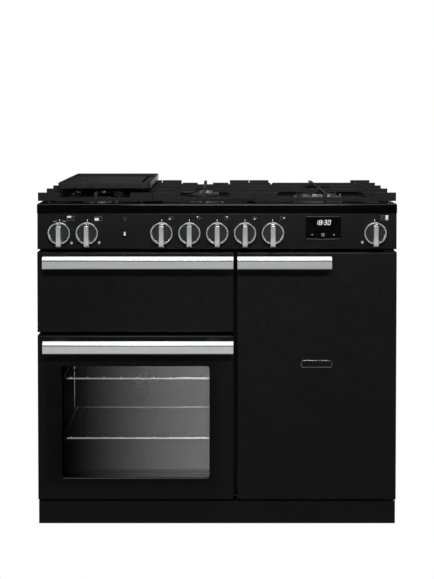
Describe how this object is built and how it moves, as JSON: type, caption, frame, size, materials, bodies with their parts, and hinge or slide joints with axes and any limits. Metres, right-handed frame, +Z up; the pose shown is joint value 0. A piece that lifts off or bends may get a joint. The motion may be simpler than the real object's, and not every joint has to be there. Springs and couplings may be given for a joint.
{
  "type": "range cooker",
  "caption": "Free-standing black range cooker: gas hob with griddle and cast pan supports, glide-out grill, drop-down windowed oven, tall side-opening oven and bar handles.",
  "frame": {"origin": "on the floor, in the middle of the overall width and depth", "axes": "+X to the cook's right, +Y to the back, +Z up"},
  "size_m": [0.996, 0.65, 0.958],
  "materials": {
    "enamel_black": "gloss black enamel",
    "galvanised": "galvanised sheet",
    "frame_black": "satin black enamel",
    "cavity_enamel": "grey vitreous enamel",
    "gloss_black_plastic": "gloss",
    "lens": "frosted",
    "black_plastic": "moulded",
    "knob_metal": "chrome ring, black dial, brushed grip",
    "button_metal": "brushed",
    "tap_alloy": "die cast",
    "pipe_steel": "drawn tube",
    "cap_enamel": "matt black enamel",
    "cast_iron": "matt black enamelled cast iron",
    "element_alloy": "oxidised sheath",
    "shelf_chrome": "bright plated wire",
    "fan_steel": "pressed",
    "handle_metal": "brushed with bright bevel",
    "door_glass": "tinted clear",
    "seal_rubber": "silicone"
  },
  "bodies": {
    "root": {"side_panels": "enamel_black", "back_panel": "galvanised", "base_chassis": "galvanised", "plinth": "enamel_black", "front_frame": "frame_black", "control_panel": "enamel_black", "clock_module": "gloss_black_plastic", "lamp_and_indicator_lenses": "lens", "terminal_cover": "black_plastic", "tap_and_switch_bodies": "tap_alloy", "gas_pipes": "pipe_steel", "hob_top": "enamel_black", "rear_vent_trim": "enamel_black", "burner_bases": "tap_alloy", "burner_caps": "cap_enamel", "main_oven_liner": "cavity_enamel", "tall_oven_liner": "cavity_enamel", "grill_chamber_liner": "cavity_enamel", "fan_baffles": "cavity_enamel", "fan_motors": "galvanised", "heating_elements": "element_alloy", "oven_shelves": "shelf_chrome", "door_seals": "seal_rubber", "fixed_runners": "galvanised"},
    "grill_drawer": {"grill_front": "enamel_black", "grill_handle": "handle_metal", "grill_carriage": "galvanised", "grill_pan": "enamel_black", "grill_trivet": "shelf_chrome"},
    "grill_runner_middles": {"middle_runners": "galvanised"},
    "main_door": {"main_oven_door": "enamel_black", "main_oven_glasses": "door_glass", "main_oven_door_inner": "frame_black", "main_oven_handle": "handle_metal", "main_oven_hinge_arms": "pipe_steel"},
    "tall_door": {"tall_oven_door": "enamel_black", "tall_oven_door_inner": "frame_black", "tall_oven_handle": "handle_metal"},
    "light_button": {"light_button": "button_metal"},
    "pan_support_left": {"pan_support_left": "cast_iron"},
    "pan_support_middle": {"pan_support_middle": "cast_iron"},
    "pan_support_right": {"pan_support_right": "cast_iron"},
    "griddle": {"griddle": "cast_iron"},
    "main_oven_fan": {"main_oven_fan": "fan_steel"},
    "tall_oven_fan": {"tall_oven_fan": "fan_steel"},
    "rear_roller_left": {"rear_roller_left": "black_plastic"},
    "rear_roller_right": {"rear_roller_right": "black_plastic"},
    "knob_grill": {"knob_grill": "knob_metal"},
    "knob_main_oven": {"knob_main_oven": "knob_metal"},
    "knob_tall_oven": {"knob_tall_oven": "knob_metal"},
    "tap_plunger_1": {"tap_plunger_1": "tap_alloy"},
    "knob_gas_1": {"knob_gas_1": "knob_metal"},
    "tap_plunger_2": {"tap_plunger_2": "tap_alloy"},
    "knob_gas_2": {"knob_gas_2": "knob_metal"},
    "tap_plunger_3": {"tap_plunger_3": "tap_alloy"},
    "knob_gas_3": {"knob_gas_3": "knob_metal"},
    "tap_plunger_4": {"tap_plunger_4": "tap_alloy"},
    "knob_gas_4": {"knob_gas_4": "knob_metal"},
    "tap_plunger_5": {"tap_plunger_5": "tap_alloy"},
    "knob_gas_5": {"knob_gas_5": "knob_metal"}
  },
  "joints": [
    {"name": "grill_slide", "type": "slide", "parent": "root", "child": "grill_drawer", "axis": [0, -1, 0], "range_m": [0, 0.3]},
    {"name": "grill_runner_middle_slide", "type": "slide", "parent": "root", "child": "grill_runner_middles", "axis": [0, -1, 0], "range_m": [0, 0.15]},
    {"name": "main_door_hinge", "type": "hinge", "parent": "root", "child": "main_door", "pos_m": [-0.22475, -0.26, 0.1025], "axis": [1, 0, 0], "range_deg": [0, 90]},
    {"name": "tall_door_hinge", "type": "hinge", "parent": "root", "child": "tall_door", "pos_m": [0.476, -0.26, 0.42675], "axis": [0, 0, 1], "range_deg": [0, 95]},
    {"name": "knob_grill_turn", "type": "hinge", "parent": "root", "child": "knob_grill", "pos_m": [-0.434, -0.275, 0.824], "axis": [0, 1, 0], "range_deg": [-150, 150]},
    {"name": "knob_main_oven_turn", "type": "hinge", "parent": "root", "child": "knob_main_oven", "pos_m": [-0.3575, -0.275, 0.824], "axis": [0, 1, 0], "range_deg": [0, 270]},
    {"name": "knob_tall_oven_turn", "type": "hinge", "parent": "root", "child": "knob_tall_oven", "pos_m": [0.435, -0.275, 0.824], "axis": [0, 1, 0], "range_deg": [0, 270]},
    {"name": "tap_push_1", "type": "slide", "parent": "root", "child": "tap_plunger_1", "axis": [0, 1, 0], "range_m": [0, 0.004], "stiffness_N_per_m": 600, "springref_m": -0.004},
    {"name": "knob_gas_1_turn", "type": "hinge", "parent": "tap_plunger_1", "child": "knob_gas_1", "pos_m": [-0.1525, -0.275, 0.824], "axis": [0, 1, 0], "range_deg": [-200, 0]},
    {"name": "tap_push_2", "type": "slide", "parent": "root", "child": "tap_plunger_2", "axis": [0, 1, 0], "range_m": [0, 0.004], "stiffness_N_per_m": 600, "springref_m": -0.004},
    {"name": "knob_gas_2_turn", "type": "hinge", "parent": "tap_plunger_2", "child": "knob_gas_2", "pos_m": [-0.076, -0.275, 0.824], "axis": [0, 1, 0], "range_deg": [-200, 0]},
    {"name": "tap_push_3", "type": "slide", "parent": "root", "child": "tap_plunger_3", "axis": [0, 1, 0], "range_m": [0, 0.004], "stiffness_N_per_m": 600, "springref_m": -0.004},
    {"name": "knob_gas_3_turn", "type": "hinge", "parent": "tap_plunger_3", "child": "knob_gas_3", "pos_m": [0.0005, -0.275, 0.824], "axis": [0, 1, 0], "range_deg": [-200, 0]},
    {"name": "tap_push_4", "type": "slide", "parent": "root", "child": "tap_plunger_4", "axis": [0, 1, 0], "range_m": [0, 0.004], "stiffness_N_per_m": 600, "springref_m": -0.004},
    {"name": "knob_gas_4_turn", "type": "hinge", "parent": "tap_plunger_4", "child": "knob_gas_4", "pos_m": [0.077, -0.275, 0.824], "axis": [0, 1, 0], "range_deg": [-200, 0]},
    {"name": "tap_push_5", "type": "slide", "parent": "root", "child": "tap_plunger_5", "axis": [0, 1, 0], "range_m": [0, 0.004], "stiffness_N_per_m": 600, "springref_m": -0.004},
    {"name": "knob_gas_5_turn", "type": "hinge", "parent": "tap_plunger_5", "child": "knob_gas_5", "pos_m": [0.1535, -0.275, 0.824], "axis": [0, 1, 0], "range_deg": [-200, 0]},
    {"name": "light_button_push", "type": "slide", "parent": "root", "child": "light_button", "axis": [0, 1, 0], "range_m": [0, 0.003], "stiffness_N_per_m": 300, "springref_m": -0.003},
    {"name": "pan_support_left_lift", "type": "slide", "parent": "root", "child": "pan_support_left", "axis": [0, 0, 1], "range_m": [0, 0.1]},
    {"name": "pan_support_middle_lift", "type": "slide", "parent": "root", "child": "pan_support_middle", "axis": [0, 0, 1], "range_m": [0, 0.1]},
    {"name": "pan_support_right_lift", "type": "slide", "parent": "root", "child": "pan_support_right", "axis": [0, 0, 1], "range_m": [0, 0.1]},
    {"name": "griddle_lift", "type": "slide", "parent": "pan_support_left", "child": "griddle", "axis": [0, 0, 1], "range_m": [0, 0.1]},
    {"name": "main_oven_fan_spin", "type": "hinge", "parent": "root", "child": "main_oven_fan", "pos_m": [-0.225, 0.15, 0.285], "axis": [0, 1, 0], "continuous": true},
    {"name": "tall_oven_fan_spin", "type": "hinge", "parent": "root", "child": "tall_oven_fan", "pos_m": [0.275, 0.15, 0.43], "axis": [0, 1, 0], "continuous": true},
    {"name": "rear_roller_left_spin", "type": "hinge", "parent": "root", "child": "rear_roller_left", "pos_m": [-0.436, 0.27, 0.022], "axis": [1, 0, 0], "continuous": true},
    {"name": "rear_roller_right_spin", "type": "hinge", "parent": "root", "child": "rear_roller_right", "pos_m": [0.436, 0.27, 0.022], "axis": [1, 0, 0], "continuous": true}
  ],
  "couplings": [
    {"joint": "grill_runner_middle_slide", "follows": "grill_slide", "ratio": 0.5}
  ]
}
